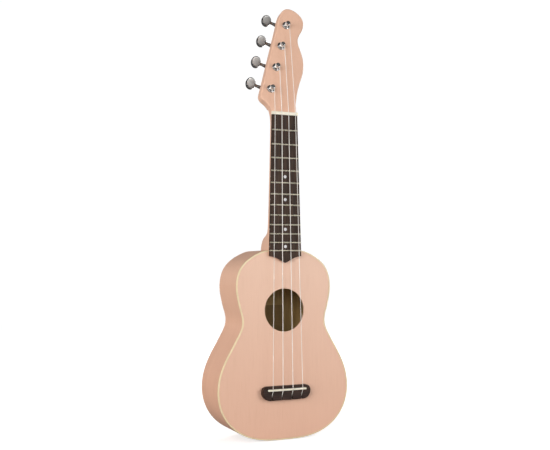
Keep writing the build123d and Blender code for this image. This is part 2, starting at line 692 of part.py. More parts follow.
crown_r = saddle_t / 2
break_angle = math.radians(28)
for k, name in enumerate(string_names):
    r = string_r[k]
    ring = crown_r + 0.04 + r
    wrap = post_waist_r + 0.03 + r
    u, v = post_line_start[0] + k * post_step[0], post_line_start[1] + k * post_step[1]
    nut_v = -2.3
    du, dv = u - string_x_nut[k], v - nut_v
    for _ in range(3):
        m = math.hypot(du, dv)
        tu, tv = u + wrap * dv / m, v - wrap * du / m
        du, dv = tu - string_x_nut[k], tv - nut_v
    p0 = head_face.from_local_coords((tu, tv, string_h))
    p1 = Vector(string_x_nut[k], string_nut_y, 2.15)
    slope_x = (string_x_saddle[k] - string_x_nut[k]) / (2.15 - saddle_z)
    yc = saddle_top_y + crown_r - ring
    z2 = saddle_z - ring * math.tan(break_angle / 2)
    p2 = Vector(string_x_saddle[k], yc, z2)
    z3 = z2 - (knot_y - yc) / math.tan(break_angle)
    p3 = Vector(string_x_saddle[k], knot_y, z3)
    p4 = Vector(string_x_saddle[k], knot_y, -358.3)
    radii = [9.0, ring, 2.5]
    print(name, "run lengths", [round((a - b).length, 2) for a, b in zip((p0, p1, p2, p3), (p1, p2, p3, p4))],
          "arc radii", [round(x, 2) for x in radii])
    with BuildPart() as string:
        with BuildLine() as route:
            bent_path([p0, p1, p2, p3, p4], radii)
        with BuildSketch(Plane(origin=route.line @ 0, z_dir=route.line % 0)):
            Circle(r)
        sweep(path=route.line)
        with BuildSketch(Plane.XY.offset(-358.6)):
            with Locations((string_x_saddle[k], knot_y)):
                Circle(1.25)
        extrude(amount=2.2)
        print("   length", round(sum(e.length for e in route.edges()), 1), "volume", round(string.part.volume, 2))
    save(string.part, name)

for pl in post_planes:
    print("post axis point", pl.origin, "axis", pl.z_dir, "button axis", pl.x_dir,
          "worm point", pl.from_local_coords((0, wy, wz)))
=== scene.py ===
import math

import bpy
import bmesh
import numpy as np
from mathutils import Matrix, Vector


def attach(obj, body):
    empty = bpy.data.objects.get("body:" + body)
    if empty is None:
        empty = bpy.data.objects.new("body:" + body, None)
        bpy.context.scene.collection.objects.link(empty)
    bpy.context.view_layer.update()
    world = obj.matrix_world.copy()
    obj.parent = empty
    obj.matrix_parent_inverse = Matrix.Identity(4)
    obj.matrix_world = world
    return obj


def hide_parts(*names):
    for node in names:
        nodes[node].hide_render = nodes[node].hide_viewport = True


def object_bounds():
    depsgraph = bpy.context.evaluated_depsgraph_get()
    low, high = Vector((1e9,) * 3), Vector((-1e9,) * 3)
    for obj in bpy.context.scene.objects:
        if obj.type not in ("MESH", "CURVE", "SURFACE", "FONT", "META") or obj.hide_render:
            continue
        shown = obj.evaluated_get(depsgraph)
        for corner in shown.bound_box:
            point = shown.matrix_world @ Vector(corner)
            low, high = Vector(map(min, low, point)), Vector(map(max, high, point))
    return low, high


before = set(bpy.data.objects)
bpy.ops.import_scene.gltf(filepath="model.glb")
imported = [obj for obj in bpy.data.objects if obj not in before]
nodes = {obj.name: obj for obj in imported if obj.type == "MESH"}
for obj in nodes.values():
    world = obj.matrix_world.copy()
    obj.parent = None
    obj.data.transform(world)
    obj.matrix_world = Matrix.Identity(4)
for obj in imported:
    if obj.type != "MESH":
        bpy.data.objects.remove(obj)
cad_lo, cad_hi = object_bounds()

MM = 0.001
scene = bpy.context.scene


# ------------------------------------------------------------------ geometry shared with the CAD model (mm)
TILT = math.radians(12.0)
CT, ST = math.cos(TILT), math.sin(TILT)
HEAD_T = 11.5
POST_START, POST_STEP = (-14.7, 30.7), (10.17, 30.93)
STEP_LEN = math.hypot(*POST_STEP)
T_U, T_V = POST_STEP[0] / STEP_LEN, POST_STEP[1] / STEP_LEN
STRING_R = [0.30, 0.43, 0.40, 0.34]
STRING_NAMES = ["string_g", "string_c", "string_e", "string_a"]
X_NUT = [-14.1, -4.7, 4.7, 14.1]
X_SADDLE = [-20.3, -6.8, 6.8, 20.3]


def head(u, v, h):
    """A point on the headstock: u across, v up its face, h out of its face."""
    return Vector((u, 0.3 + v * ST - h * CT, 4.5 + v * CT + h * ST))


def post_uv(k):
    return POST_START[0] + k * POST_STEP[0], POST_START[1] + k * POST_STEP[1]


def tuner(k, x, y, z):
    """A point of tuner k: x towards its button, y down the line of posts, z out of the headstock's face."""
    u, v = post_uv(k)
    return head(u - T_V * x - T_U * y, v + T_U * x - T_V * y, z)


# ------------------------------------------------------------------ material helpers
def lin(c):
    c = c / 255.0
    return c / 12.92 if c <= 0.04045 else ((c + 0.055) / 1.055) ** 2.4


def rgb(r, g, b, k=1.0):
    return (lin(r) * k, lin(g) * k, lin(b) * k, 1.0)


class Mat:
    """A node material built up from one Principled shader."""

    def __init__(self, name):
        self.m = bpy.data.materials.new(name)
        self.m.use_nodes = True
        self.nt = self.m.node_tree
        self.nt.nodes.clear()
        self.out = self.nt.nodes.new("ShaderNodeOutputMaterial")
        self.b = self.nt.nodes.new("ShaderNodeBsdfPrincipled")
        self.nt.links.new(self.b.outputs[0], self.out.inputs[0])
        self.tc = self.nt.nodes.new("ShaderNodeTexCoord")
        self.bump_out = None

    def set(self, **kw):
        for k, v in kw.items():
            self.b.inputs[k.replace("_", " ")].default_value = v
        return self

    def link(self, a, b):
        self.nt.links.new(a, b)

    def coords(self, scale=(1, 1, 1), rot=(0, 0, 0), loc=(0, 0, 0)):
        mp = self.nt.nodes.new("ShaderNodeMapping")
        mp.inputs["Scale"].default_value = scale
        mp.inputs["Rotation"].default_value = rot
        mp.inputs["Location"].default_value = loc
        self.link(self.tc.outputs["Object"], mp.inputs["Vector"])
        return mp.outputs[0]

    def noise(self, vec, scale=1.0, detail=4.0, rough=0.55, distort=0.0):
        n = self.nt.nodes.new("ShaderNodeTexNoise")
        n.inputs["Scale"].default_value = scale
        n.inputs["Detail"].default_value = detail
        n.inputs["Roughness"].default_value = rough
        n.inputs["Distortion"].default_value = distort
        self.link(vec, n.inputs["Vector"])
        return n.outputs["Fac"]

    def wave(self, vec, scale=1.0, distort=2.0, detail=3.0, dscale=1.0, axis="X", kind="BANDS", profile="SIN"):
        n = self.nt.nodes.new("ShaderNodeTexWave")
        n.wave_type = kind
        if kind == "BANDS":
            n.bands_direction = axis
        else:
            n.rings_direction = axis
        n.wave_profile = profile
        n.inputs["Scale"].default_value = scale
        n.inputs["Distortion"].default_value = distort
        n.inputs["Detail"].default_value = detail
        n.inputs["Detail Scale"].default_value = dscale
        self.link(vec, n.inputs["Vector"])
        return n.outputs["Fac"]

    def voronoi(self, vec, scale=1.0, feature="F1", out="Distance", rand=1.0):
        n = self.nt.nodes.new("ShaderNodeTexVoronoi")
        n.feature = feature
        n.inputs["Scale"].default_value = scale
        n.inputs["Randomness"].default_value = rand
        self.link(vec, n.inputs["Vector"])
        return n.outputs[out]

    def ramp(self, fac, stops, interp="LINEAR"):
        r = self.nt.nodes.new("ShaderNodeValToRGB")
        r.color_ramp.interpolation = interp
        el = r.color_ramp.elements
        el[0].position, el[0].color = stops[0][0], stops[0][1]
        el[1].position, el[1].color = stops[-1][0], stops[-1][1]
        for p, c in stops[1:-1]:
            e = el.new(p)
            e.color = c
        self.link(fac, r.inputs["Fac"])
        return r.outputs["Color"]

    def grey(self, fac, lo, hi, p0=0.0, p1=1.0):
        n = self.nt.nodes.new("ShaderNodeMapRange")
        n.inputs["From Min"].default_value = p0
        n.inputs["From Max"].default_value = p1
        n.inputs["To Min"].default_value = lo
        n.inputs["To Max"].default_value = hi
        self.link(fac, n.inputs["Value"])
        return n.outputs[0]

    def math(self, op, a, b=None):
        n = self.nt.nodes.new("ShaderNodeMath")
        n.operation = op
        for i, v in enumerate((a, b)):
            if v is None:
                continue
            if isinstance(v, (int, float)):
                n.inputs[i].default_value = v
            else:
                self.link(v, n.inputs[i])
        return n.outputs[0]

    def mix(self, fac, a, b, mode="MIX"):
        n = self.nt.nodes.new("ShaderNodeMix")
        n.data_type = "RGBA"
        n.blend_type = mode
        for s, v in ((n.inputs[0], fac), (n.inputs[6], a), (n.inputs[7], b)):
            if isinstance(v, (int, float)):
                s.default_value = v
            elif isinstance(v, tuple):
                s.default_value = v
            else:
                self.link(v, s)
        return n.outputs[2]

    def bump(self, height, strength=0.1, dist=0.0003):
        n = self.nt.nodes.new("ShaderNodeBump")
        n.inputs["Strength"].default_value = strength
        n.inputs["Distance"].default_value = dist
        self.link(height, n.inputs["Height"])
        if self.bump_out is not None:
            self.link(self.bump_out, n.inputs["Normal"])
        self.bump_out = n.outputs[0]
        self.link(self.bump_out, self.b.inputs["Normal"])
        return self

    def color(self, c):
        self.link(c, self.b.inputs["Base Color"])
        return self

    def roughness(self, c):
        self.link(c, self.b.inputs["Roughness"])
        return self


def lacquered(name, light, dark, across, along, depth, rough=0.42, streak=0.55):
    """Thin tinted lacquer over straight-grained wood: the grain telegraphs through as soft streaks and fine pores,
    with a painted sheen that lightens the colour towards the top of the body.
    """
    m = Mat(name)
    g = m.coords(scale=(across, depth, along))
    broad = m.noise(m.coords(scale=(18, 18, 7)), 1.0, 3.0, 0.5)
    streaks = m.noise(g, 1.0, 5.0, 0.62, 0.35)
    pores = m.noise(m.coords(scale=(across * 5.5, depth * 5.5, along * 2.2), loc=(3, 7, 1)), 1.0, 2.0, 0.5)
    base = m.ramp(m.math("ADD", m.math("MULTIPLY", streaks, streak), m.math("MULTIPLY", broad, 1 - streak)),
                  [(0.30, dark), (0.72, light)])
    fine = m.ramp(pores, [(0.28, rgb(240, 232, 226)), (0.42, (1, 1, 1, 1))])
    base = m.mix(0.5, base, fine, "MULTIPLY")
    # painted sheen: the colour is a little darker and pinker towards the bottom of the body (object Z -0.41 m) and
    # lighter towards the top (-0.20 m and above), standing in for the light's haze on the upper body
    sep = m.nt.nodes.new("ShaderNodeSeparateXYZ")
    m.link(m.tc.outputs["Object"], sep.inputs[0])
    painted_sheen_gradient = m.ramp(m.grey(sep.outputs["Z"], 0.0, 1.0, -0.41, -0.20), [(0.0, rgb(250, 240, 236)), (1.0, (1, 1, 1, 1))])
    m.color(m.mix(1.0, base, painted_sheen_gradient, "MULTIPLY"))
    m.roughness(m.grey(m.math("ADD", m.math("MULTIPLY", streaks, 0.5), m.math("MULTIPLY", pores, 0.5)), rough + 0.09, rough - 0.06))
    m.bump(pores, 0.10, 0.00006)
    m.bump(streaks, 0.06, 0.00010)
    m.set(Specular_IOR_Level=0.34, Coat_Weight=0.06, Coat_Roughness=0.30)
    return m.m


def dark_wood(name, axis, light, mid, dark, rough=0.5):
    """Open-pored dark timber: long pores and colour streaks along its grain."""
    m = Mat(name)
    along, across = 26.0, 620.0
    sc = {"Z": (across, across, along), "X": (along, across, across)}[axis]
    sc2 = {"Z": (across * 2.6, across * 2.6, along * 3), "X": (along * 3, across * 2.6, across * 2.6)}[axis]
    sc3 = {"Z": (90, 90, 6), "X": (6, 90, 90)}[axis]
    streaks = m.noise(m.coords(scale=sc), 1.0, 6.0, 0.65, 0.5)
    pores = m.noise(m.coords(scale=sc2, loc=(5, 2, 9)), 1.0, 2.0, 0.5)
    broad = m.noise(m.coords(scale=sc3, loc=(1, 4, 2)), 1.0, 3.0, 0.5, 0.4)
    base = m.ramp(streaks, [(0.28, dark), (0.5, mid), (0.74, light)])
    tint = m.ramp(broad, [(0.3, rgb(196, 176, 170)), (0.7, rgb(255, 246, 236))])
    base = m.mix(0.8, base, tint, "MULTIPLY")
    pore_c = m.ramp(pores, [(0.30, rgb(120, 104, 98)), (0.40, (1, 1, 1, 1))])
    m.color(m.mix(0.75, base, pore_c, "MULTIPLY"))
    m.roughness(m.grey(pores, rough + 0.2, rough - 0.05, 0.25, 0.55))
    m.bump(m.ramp(pores, [(0.28, (0, 0, 0, 1)), (0.42, (1, 1, 1, 1))]), 0.35, 0.0001)
    m.bump(streaks, 0.18, 0.0001)
    m.set(Specular_IOR_Level=0.22)
    return m.m


def metal(name, light, dark, rough, brush=None, cloud=60.0, bump=0.05):
    m = Mat(name)
    cloudy = m.noise(m.coords(scale=(cloud, cloud, cloud)), 1.0, 4.0, 0.6)
    spots = m.noise(m.coords(scale=(900, 900, 900), loc=(2, 3, 4)), 1.0, 3.0, 0.6)
    m.color(m.ramp(m.math("ADD", m.math("MULTIPLY", cloudy, 0.7), m.math("MULTIPLY", spots, 0.3)), [(0.3, dark), (0.65, light)]))
    if brush:
        lines = m.noise(m.coords(scale=brush), 1.0, 3.0, 0.6)
        m.roughness(m.grey(m.math("ADD", m.math("MULTIPLY", lines, 0.6), m.math("MULTIPLY", cloudy, 0.4)), rough * 0.75, rough * 1.35, 0.3, 0.7))
        m.bump(lines, bump * 2, 0.00004)
    else:
        m.roughness(m.grey(m.math("ADD", m.math("MULTIPLY", spots, 0.5), m.math("MULTIPLY", cloudy, 0.5)), rough * 0.7, rough * 1.4, 0.3, 0.7))
        m.bump(spots, bump, 0.00003)
    m.set(Metallic=1.0)
    return m.m


# ------------------------------------------------------------------ materials
mats = {}
mats["pink_top"] = lacquered("shell_pink_top", rgb(231, 192, 168), rgb(227, 187, 163), 330, 14, 330 / 14, 0.40)
mats["pink_shell"] = lacquered("shell_pink_sides", rgb(229, 184, 157), rgb(221, 175, 148), 14, 14, 300, 0.40)
mats["pink_back"] = lacquered("shell_pink_back", rgb(229, 185, 158), rgb(220, 174, 147), 300, 12, 22, 0.40)
mats["pink_neck"] = lacquered("shell_pink_neck", rgb(229, 187, 161), rgb(221, 177, 152), 320, 15, 320, 0.42)

m = Mat("cream_binding")
n1 = m.noise(m.coords(scale=(260, 60, 260)), 1.0, 4.0, 0.6)
n2 = m.noise(m.coords(scale=(30, 30, 30)), 1.0, 3.0, 0.5)
m.color(m.ramp(m.math("ADD", m.math("MULTIPLY", n1, 0.5), m.math("MULTIPLY", n2, 0.5)), [(0.3, rgb(224, 201, 160)), (0.7, rgb(236, 216, 180))]))
m.roughness(m.grey(n1, 0.34, 0.46))
m.bump(n1, 0.12, 0.00004)
m.set(Specular_IOR_Level=0.5, Subsurface_Weight=0.08, Subsurface_Radius=(0.002, 0.0016, 0.001))
mats["cream_binding"] = m.m

mats["dark_wood"] = dark_wood("dark_fingerboard", "Z", rgb(90, 68, 54), rgb(62, 47, 38), rgb(38, 29, 24), 0.56)
mats["dark_bridge"] = dark_wood("dark_bridge", "X", rgb(80, 60, 52), rgb(57, 42, 37), rgb(36, 27, 24), 0.54)
mats["bare_wood"] = None

m = Mat("bare_wood")
st1 = m.noise(m.coords(scale=(420, 420, 14)), 1.0, 6.0, 0.62, 0.4)
st2 = m.noise(m.coords(scale=(70, 70, 5), loc=(4, 1, 2)), 1.0, 3.0, 0.5)
po = m.noise(m.coords(scale=(1500, 1500, 90)), 1.0, 2.0, 0.5)
c = m.ramp(st1, [(0.28, rgb(180, 150, 96)), (0.5, rgb(204, 174, 118)), (0.74, rgb(224, 196, 138))])
c = m.mix(0.6, c, m.ramp(st2, [(0.3, rgb(214, 196, 176)), (0.7, (1, 1, 1, 1))]), "MULTIPLY")
m.color(m.mix(0.5, c, m.ramp(po, [(0.3, rgb(150, 126, 104)), (0.42, (1, 1, 1, 1))]), "MULTIPLY"))
m.roughness(m.grey(st1, 0.78, 0.62))
m.bump(po, 0.25, 0.00008)
m.bump(st1, 0.2, 0.0001)
m.set(Specular_IOR_Level=0.25)
mats["bare_wood"] = m.m



def bare_inside(name, test):
    """The lacquered material outside and bare wood on the faces that look into the hollow body."""
    outer = mats[name]
    nt_ = outer.node_tree
    old = next(n for n in nt_.nodes if n.type == "BSDF_PRINCIPLED")
    col = old.inputs["Base Color"].links[0].from_socket
    tc_ = nt_.nodes.new("ShaderNodeTexCoord")
    dot = nt_.nodes.new("ShaderNodeVectorMath")
    dot.operation = "DOT_PRODUCT"
    off = nt_.nodes.new("ShaderNodeVectorMath")
    off.operation = "MULTIPLY_ADD"
    off.inputs[1].default_value, off.inputs[2].default_value = test
    nt_.links.new(tc_.outputs["Object"], off.inputs[0])
    nt_.links.new(off.outputs[0], dot.inputs[0])
    nt_.links.new(tc_.outputs["Normal"], dot.inputs[1])
    step = nt_.nodes.new("ShaderNodeMath")
    step.operation = "LESS_THAN"
    step.inputs[1].default_value = 0.0
    nt_.links.new(dot.outputs["Value"], step.inputs[0])
    grain = nt_.nodes.new("ShaderNodeTexNoise")
    mp = nt_.nodes.new("ShaderNodeMapping")
    mp.inputs["Scale"].default_value = (420, 420, 14)
    nt_.links.new(tc_.outputs["Object"], mp.inputs["Vector"])
    nt_.links.new(mp.outputs[0], grain.inputs["Vector"])
    grain.inputs["Scale"].default_value, grain.inputs["Detail"].default_value = 1.0, 6.0
    rmp = nt_.nodes.new("ShaderNodeValToRGB")
    e0, e1 = rmp.color_ramp.elements
    e0.position, e0.color = 0.30, rgb(184, 156, 102)
    e1.position, e1.color = 0.72, rgb(212, 180, 124)
    nt_.links.new(grain.outputs[0], rmp.inputs["Fac"])
    mx = nt_.nodes.new("ShaderNodeMix")
    mx.data_type = "RGBA"
    nt_.links.new(step.outputs[0], mx.inputs[0])
    ca = next(x for x in mx.inputs if x.type == "RGBA" and x.name == "A")
    cb = next(x for x in mx.inputs if x.type == "RGBA" and x.name == "B")
    nt_.links.new(col, ca)
    nt_.links.new(rmp.outputs["Color"], cb)
    nt_.links.new(next(x for x in mx.outputs if x.type == "RGBA"), old.inputs["Base Color"])


bare_inside("pink_top", ((0, 0, 0), (0, -1, 0)))
bare_inside("pink_back", ((0, 0, 0), (0, 1, 0)))
bare_inside("pink_shell", ((1, 0, 1), (0, 0, 0.30)))

mats["nickel"] = metal("nickel_fret_wire", rgb(196, 189, 170), rgb(176, 168, 148), 0.28, None, 300.0, 0.008)
mats["chrome_trim"] = metal("polished_chrome", rgb(208, 207, 206), rgb(190, 189, 188), 0.11, None, 120.0, 0.03)
mats["chrome_plate"] = metal("chrome_plate", rgb(206, 207, 209), rgb(184, 186, 189), 0.20, (2500, 60, 60), 90.0, 0.05)
mats["brass_gear"] = metal("cut_brass", rgb(214, 180, 112), rgb(186, 148, 84), 0.30, (60, 2200, 2200), 140.0, 0.06)
mats["satin_button"] = metal("satin_button", rgb(216, 214, 211), rgb(204, 202, 199), 0.47, (1600, 1600, 120), 60.0, 0.02)

m = Mat("ivory")
a1 = m.noise(m.coords(scale=(40, 500, 500)), 1.0, 4.0, 0.6)
a2 = m.noise(m.coords(scale=(300, 300, 300), loc=(1, 5, 3)), 1.0, 4.0, 0.6)
m.color(m.ramp(m.math("ADD", m.math("MULTIPLY", a1, 0.5), m.math("MULTIPLY", a2, 0.5)), [(0.3, rgb(232, 222, 198)), (0.7, rgb(246, 240, 224))]))
m.roughness(m.grey(a2, 0.30, 0.46))
m.bump(a2, 0.12, 0.00005)
m.set(Subsurface_Weight=0.10, Subsurface_Radius=(0.002, 0.0015, 0.001))
mats["ivory"] = m.m

m = Mat("pearl")
v1 = m.voronoi(m.coords(scale=(520, 520, 380)), 1.0, "F1", "Distance")
n1 = m.noise(m.coords(scale=(700, 700, 420)), 1.0, 4.0, 0.6, 1.5)
c = m.ramp(m.math("ADD", m.math("MULTIPLY", v1, 0.45), m.math("MULTIPLY", n1, 0.6)),
           [(0.25, rgb(178, 188, 184)), (0.42, rgb(206, 204, 202)), (0.58, rgb(190, 184, 190)), (0.75, rgb(214, 212, 204))])
m.color(c)
m.roughness(m.grey(n1, 0.14, 0.3))
m.bump(n1, 0.08, 0.00004)
m.set(Specular_IOR_Level=0.65, Coat_Weight=0.4, Coat_Roughness=0.08)
mats["pearl"] = m.m

m = Mat("kraft_label")
f1 = m.noise(m.coords(scale=(900, 900, 900)), 1.0, 5.0, 0.7)
f2 = m.noise(m.coords(scale=(120, 120, 1600)), 1.0, 3.0, 0.6)
m.color(m.ramp(m.math("ADD", m.math("MULTIPLY", f1, 0.5), m.math("MULTIPLY", f2, 0.5)), [(0.3, rgb(156, 128, 84)), (0.7, rgb(176, 148, 102))]))
m.roughness(m.grey(f1, 0.7, 0.9))
m.bump(f1, 0.3, 0.00006)
m.set(Specular_IOR_Level=0.2)
mats["plain_paper"] = m.m

m = Mat("clear_nylon")
s1 = m.noise(m.coords(scale=(400, 400, 60)), 1.0, 3.0, 0.5)
m.color(m.ramp(s1, [(0.3, rgb(246, 238, 230)), (0.7, rgb(253, 249, 244))]))
m.roughness(m.grey(s1, 0.20, 0.32))
m.bump(s1, 0.05, 0.00002)
m.set(Transmission_Weight=0.14, IOR=1.5, Specular_IOR_Level=0.4)
mats["clear_string"] = m.m

SLOT_OF = {}
for s, names in {
    "pink_top": ["soundboard"],
    "pink_shell": ["side_left", "side_right"],
    "pink_back": ["back"],
    "pink_neck": ["neck"],
    "cream_binding": ["binding_front"],
    "dark_wood": ["fingerboard"],
    "dark_bridge": ["bridge"],
    "nickel": ["frets"],
    "ivory": ["nut", "saddle"],
    "pearl": ["position_markers", "side_markers"],
    "plain_paper": ["label"],
    "clear_string": STRING_NAMES + ["string_winding_%d" % i for i in range(1, 5)],
    "chrome_trim": ["post_bushings", "tuner_screws"] + ["tuner_%d_%s" % (i, p) for i in range(1, 5) for p in ("post", "gear_screw", "worm_shaft")],
    "chrome_plate": ["tuner_%d_plate" % i for i in range(1, 5)],
    "brass_gear": ["tuner_%d_gear" % i for i in range(1, 5)],
    "satin_button": ["tuner_%d_button" % i for i in range(1, 5)],
}.items():
    for n in names:
        SLOT_OF[n] = s
for n, o in nodes.items():
    o.data.materials.clear()
    o.data.materials.append(mats[SLOT_OF.get(n, "bare_wood")])


# ------------------------------------------------------------------ mesh helpers
def new_object(name, verts, faces, mat, smooth=True):
    me = bpy.data.meshes.new(name)
    me.from_pydata([tuple(v) for v in verts], [], faces)
    me.validate()
    me.update()
    if smooth:
        me.polygons.foreach_set("use_smooth", [True] * len(me.polygons))
    me.materials.append(mat)
    o = bpy.data.objects.new(name, me)
    scene.collection.objects.link(o)
    return o


def tube(points, radius, sides=12, cap=True):
    """Vertices and faces of a round tube along points (mm), with domed ends, in metres."""
    pts = [Vector(p) for p in points]
    n = len(pts)
    tang = []
    for i in range(n):
        a, b = pts[max(i - 1, 0)], pts[min(i + 1, n - 1)]
        tang.append((b - a).normalized())
    ref = Vector((0, 0, 1)) if abs(tang[0].z) < 0.9 else Vector((1, 0, 0))
    nor = (ref - tang[0] * ref.dot(tang[0])).normalized()
    rings = []
    radii = [radius] * n
    seq = list(zip(pts, tang, radii))
    if cap:
        dome = [(0.30, 0.95), (0.62, 0.78), (0.86, 0.50)]
        head_seq = [(pts[0] - tang[0] * radius * d, tang[0], radius * r) for d, r in reversed(dome)]
        tail_seq = [(pts[-1] + tang[-1] * radius * d, tang[-1], radius * r) for d, r in dome]
        seq = head_seq + seq + tail_seq
    verts, faces = [], []
    last_t = seq[0][1]
    for p, t, r in seq:
        q = last_t.rotation_difference(t)
        nor = q @ nor
        nor = (nor - t * nor.dot(t)).normalized()
        last_t = t
        bi = t.cross(nor)
        rings.append(len(verts))
        for s in range(sides):
            a = 2 * math.pi * s / sides
            verts.append((p + (nor * math.cos(a) + bi * math.sin(a)) * r) * MM)
    for i in range(len(rings) - 1):
        for s in range(sides):
            s2 = (s + 1) % sides
            faces.append((rings[i] + s, rings[i] + s2, rings[i + 1] + s2, rings[i + 1] + s))
    c0 = len(verts)
    verts.append((seq[0][0] - seq[0][1] * (radius * 0.14 if cap else 0)) * MM)
    c1 = len(verts)
    verts.append((seq[-1][0] + seq[-1][1] * (radius * 0.14 if cap else 0)) * MM)
    for s in range(sides):
        s2 = (s + 1) % sides
        faces.append((c0, rings[0] + s2, rings[0] + s))
        faces.append((c1, rings[-1] + s, rings[-1] + s2))
    return verts, faces


def arc_route(pts, radii, step=0.35):
    """Points along straight runs joined by tangent arcs; long runs stay single spans."""
    out = [pts[0]]
    for i in range(1, len(pts) - 1):
        a = (pts[i - 1] - pts[i]).normalized()
        b = (pts[i + 1] - pts[i]).normalized()
        turn = math.pi - a.angle(b)
        r = radii[i - 1]
        leg = r * math.tan(turn / 2)
        p, q = pts[i] + a * leg, pts[i] + b * leg
        bis = (a + b).normalized()
        c = pts[i] + bis * (r / math.cos(turn / 2))
        k = max(4, int(turn * r / step))
        e0, e1 = (p - c), (q - c)
        ang = e0.angle(e1)
        ax = e0.cross(e1).normalized()
        for j in range(k + 1):
            out.append(c + Matrix.Rotation(ang * j / k, 3, ax) @ e0)
    out.append(pts[-1])
    return out


# ------------------------------------------------------------------ strings
for k, name in enumerate(STRING_NAMES):
    r = STRING_R[k]
    ring = 1.2 + 0.04 + r
    wrap = 2.15 + 0.03 + r
    u, v = post_uv(k)
    nut_v = -2.3
    du, dv = u - X_NUT[k], v - nut_v
    for _ in range(3):
        mlen = math.hypot(du, dv)
        tu, tv = u + wrap * dv / mlen, v - wrap * du / mlen
        du, dv = tu - X_NUT[k], tv - nut_v
    p0 = head(tu, tv, 5.75)
    p1 = Vector((X_NUT[k], -5.6, 2.15))
    yc = -9.4 + 1.2 - ring
    z2 = -346.0 - ring * math.tan(math.radians(14))
    p2 = Vector((X_SADDLE[k], yc, z2))
    z3 = z2 - (-4.3 - yc) / math.tan(math.radians(28))
    p3 = Vector((X_SADDLE[k], -4.3, z3))
    p4 = Vector((X_SADDLE[k], -4.3, -356.9))
    route = arc_route([p0, p1, p2, p3, p4], [9.0, ring, 2.5])
    # the last lap lies round the waist of the post and stops beside the run it came in on
    a0 = math.atan2(tv - v, tu - u)
    lap = []
    for j in range(48, 0, -1):
        a = a0 + math.radians(286) * j / 48
        lap.append(head(u + wrap * math.cos(a), v + wrap * math.sin(a), 5.75 - 0.10 * j / 48))
    full = lap + route
    verts, faces = tube(full, r, 14)
    # stopper knot behind the bridge: a small three-lobed knot drawn tight
    kr = min(0.30, r * 0.62)
    knot = []
    kc = Vector((X_SADDLE[k], -4.3, -357.55))
    loops = 72
    for j in range(loops):
        t = 2 * math.pi * j / loops
        knot.append(kc + Vector(((math.sin(t) + 2 * math.sin(2 * t)) * kr, (math.cos(t) - 2 * math.cos(2 * t)) * kr, -math.sin(3 * t) * r * 0.95)))
    kn = len(knot)
    kv, kf = [], []
    sides = 12
    tangents = [(knot[(j + 1) % kn] - knot[j - 1]).normalized() for j in range(kn)]
    nor = Vector((0, 0, 1)) - tangents[0] * tangents[0].z
    nor.normalize()
    frames = []
    lt = tangents[0]
    for j in range(kn):
        nor = lt.rotation_difference(tangents[j]) @ nor
        nor = (nor - tangents[j] * nor.dot(tangents[j])).normalized()
        lt = tangents[j]
        frames.append(nor.copy())
    end = lt.rotation_difference(tangents[0]) @ nor
    end = (end - tangents[0] * end.dot(tangents[0])).normalized()
    slip = math.atan2(frames[0].cross(end).dot(tangents[0]), frames[0].dot(end))
    for j in range(kn):
        t, nn = tangents[j], frames[j]
        nn = Matrix.Rotation(-slip * j / kn, 3, t) @ nn
        bb = t.cross(nn)
        for s in range(sides):
            a = 2 * math.pi * s / sides
            kv.append((knot[j] + (nn * math.cos(a) + bb * math.sin(a)) * r * 0.92) * MM)
    for j in range(kn):
        j2 = (j + 1) % kn
        for s in range(sides):
            s2 = (s + 1) % sides
            kf.append((j * sides + s, j * sides + s2, j2 * sides + s2, j2 * sides + s))
    string = new_object("nylon_" + name, verts, faces, mats["clear_string"])
    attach(string, "instrument")
    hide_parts(name)
    knot_o = new_object("nylon_knot_" + name[-1], kv, kf, mats["clear_string"])
    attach(knot_o, "instrument")

    # the laps below it, a close helix, and the tag end through the post's cross hole
    turns = (5.28 - 3.12 - 2 * r) / (2 * r * 1.02)
    hel = []
    steps = int(40 * turns)
    for j in range(steps + 1):
        a = a0 + math.pi * 0.9 + 2 * math.pi * turns * j / steps
        hel.append(tuner(k, 0, 0, 0) + (head(wrap * math.cos(a), wrap * math.sin(a), 3.12 + r + (5.28 - 3.12 - 2 * r) * (1 - j / steps)) - head(0, 0, 0)))
    hv, hf = tube(hel, r, 14)
    tag = [tuner(k, x, y, z) for x, y, z in ((-3.9, 0.12, 7.18), (-3.4, 0.05, 7.30), (-2.6, 0, 7.35), (0, 0, 7.35), (2.6, 0, 7.35), (3.3, -0.04, 7.31), (3.7, -0.10, 7.24))]
    tr = min(r, 0.5)
    tv_, tf_ = tube(tag, tr, 12)
    off = len(hv)
    wind = new_object("nylon_laps_%d" % (k + 1), hv + tv_, hf + [tuple(i + off for i in f) for f in tf_], mats["clear_string"])
    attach(wind, "post_%d" % (k + 1))
    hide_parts("string_winding_%d" % (k + 1))


# ------------------------------------------------------------------ tuner buttons
# painted reflection: the button's rim and ferrule get polished metal with a much darker base colour than the pad and
# the other chrome, standing in for dark reflections on the same metal
rim_dark_reflection_metal = metal("button_rim", rgb(150, 149, 148), rgb(128, 127, 126), 0.16, None, 90.0, 0.03)


def lathe(profile, centre_fn, seg=40):
    """A closed turned solid: profile is (x, r) from end to end; centre_fn maps (x, a, r) to a point."""
    verts, faces = [], []
    for x, r in profile:
        for s in range(seg):
            verts.append(centre_fn(x, 2 * math.pi * s / seg, r) * MM)
    n = len(profile)
    for i in range(n - 1):
        for s in range(seg):
            s2 = (s + 1) % seg
            faces.append((i * seg + s, (i + 1) * seg + s, (i + 1) * seg + s2, i * seg + s2))
    c0, c1 = len(verts), len(verts) + 1
    verts += [centre_fn(profile[0][0], 0, 0) * MM, centre_fn(profile[-1][0], 0, 0) * MM]
    for s in range(seg):
        s2 = (s + 1) % seg
        faces.append((c0, s, s2))
        faces.append((c1, (n - 1) * seg + s2, (n - 1) * seg + s))
    return verts, faces


